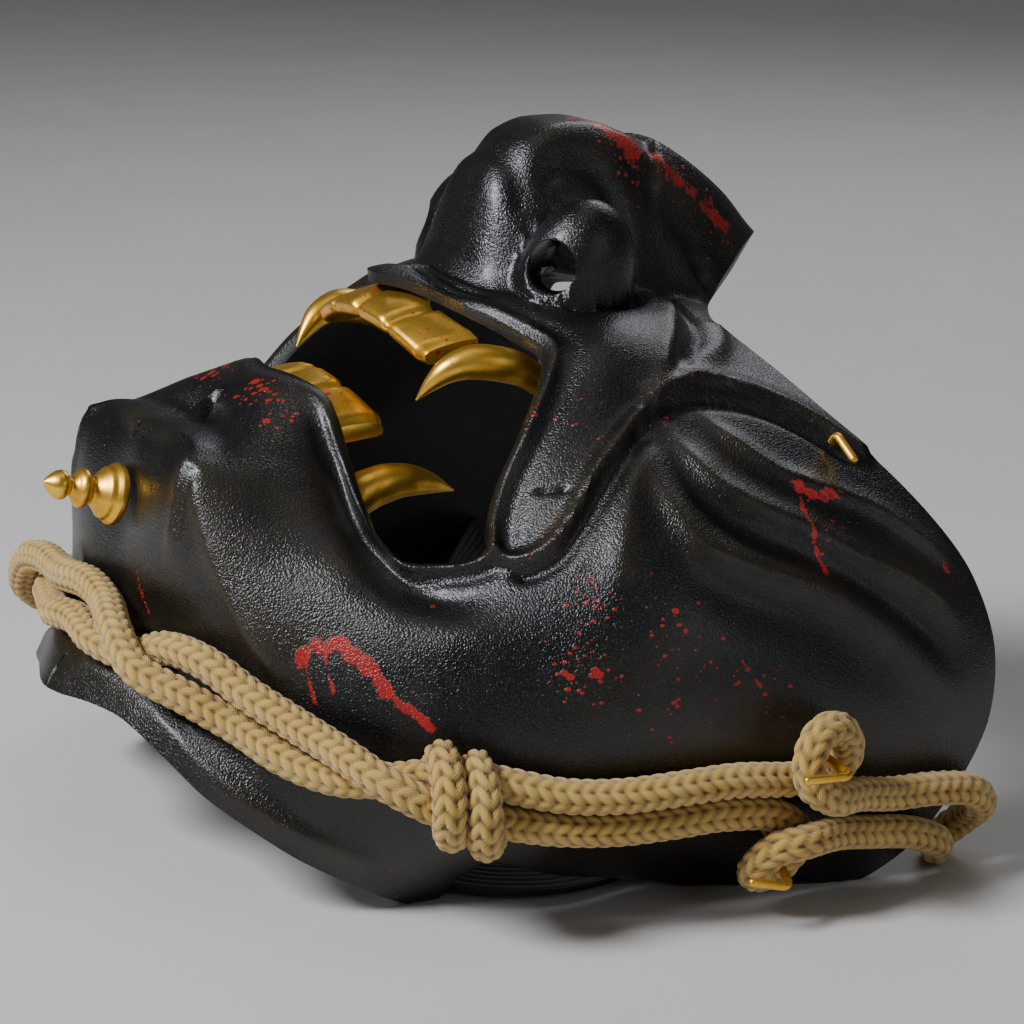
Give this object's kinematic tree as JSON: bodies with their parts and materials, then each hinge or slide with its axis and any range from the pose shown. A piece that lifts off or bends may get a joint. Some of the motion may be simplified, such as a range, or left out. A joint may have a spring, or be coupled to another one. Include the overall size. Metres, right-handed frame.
{
  "type": "face guard",
  "caption": "Half-mask face guard of black lacquer with a hooked nose, open snarling mouth with gilt teeth and fangs, a turned chin stud, a twisted chin cord on hooks and a head strap",
  "frame": {"origin": "centre of the box round the whole part, at the height of the cheek feet it lies on", "axes": "+Z out of the worn front (the nose points up as it lies), +Y towards the nose bridge (worn top), +X towards the wearer's left cheek"},
  "size_m": [0.2054, 0.151, 0.1294],
  "materials": {
    "lacquer": "black lacquer over a cast wall, satin with a brown patina and red spatter",
    "gilt": "old gold, worn satin",
    "cord": "round braided cord, buff",
    "elastic": "ribbed elastic webbing, black"
  },
  "bodies": {
    "root": {"mask_shell": "lacquer", "upper_teeth": "gilt", "lower_teeth": "gilt", "chin_stud": "gilt", "chin_cord": "cord", "head_strap": "elastic", "upper_fang_left": "gilt", "lower_fang_left": "gilt", "upper_hook_left": "gilt", "lower_hook_left": "gilt", "edge_hook_left": "gilt", "upper_fang_right": "gilt", "lower_fang_right": "gilt", "upper_hook_right": "gilt", "lower_hook_right": "gilt", "edge_hook_right": "gilt"}
  },
  "joints": []
}
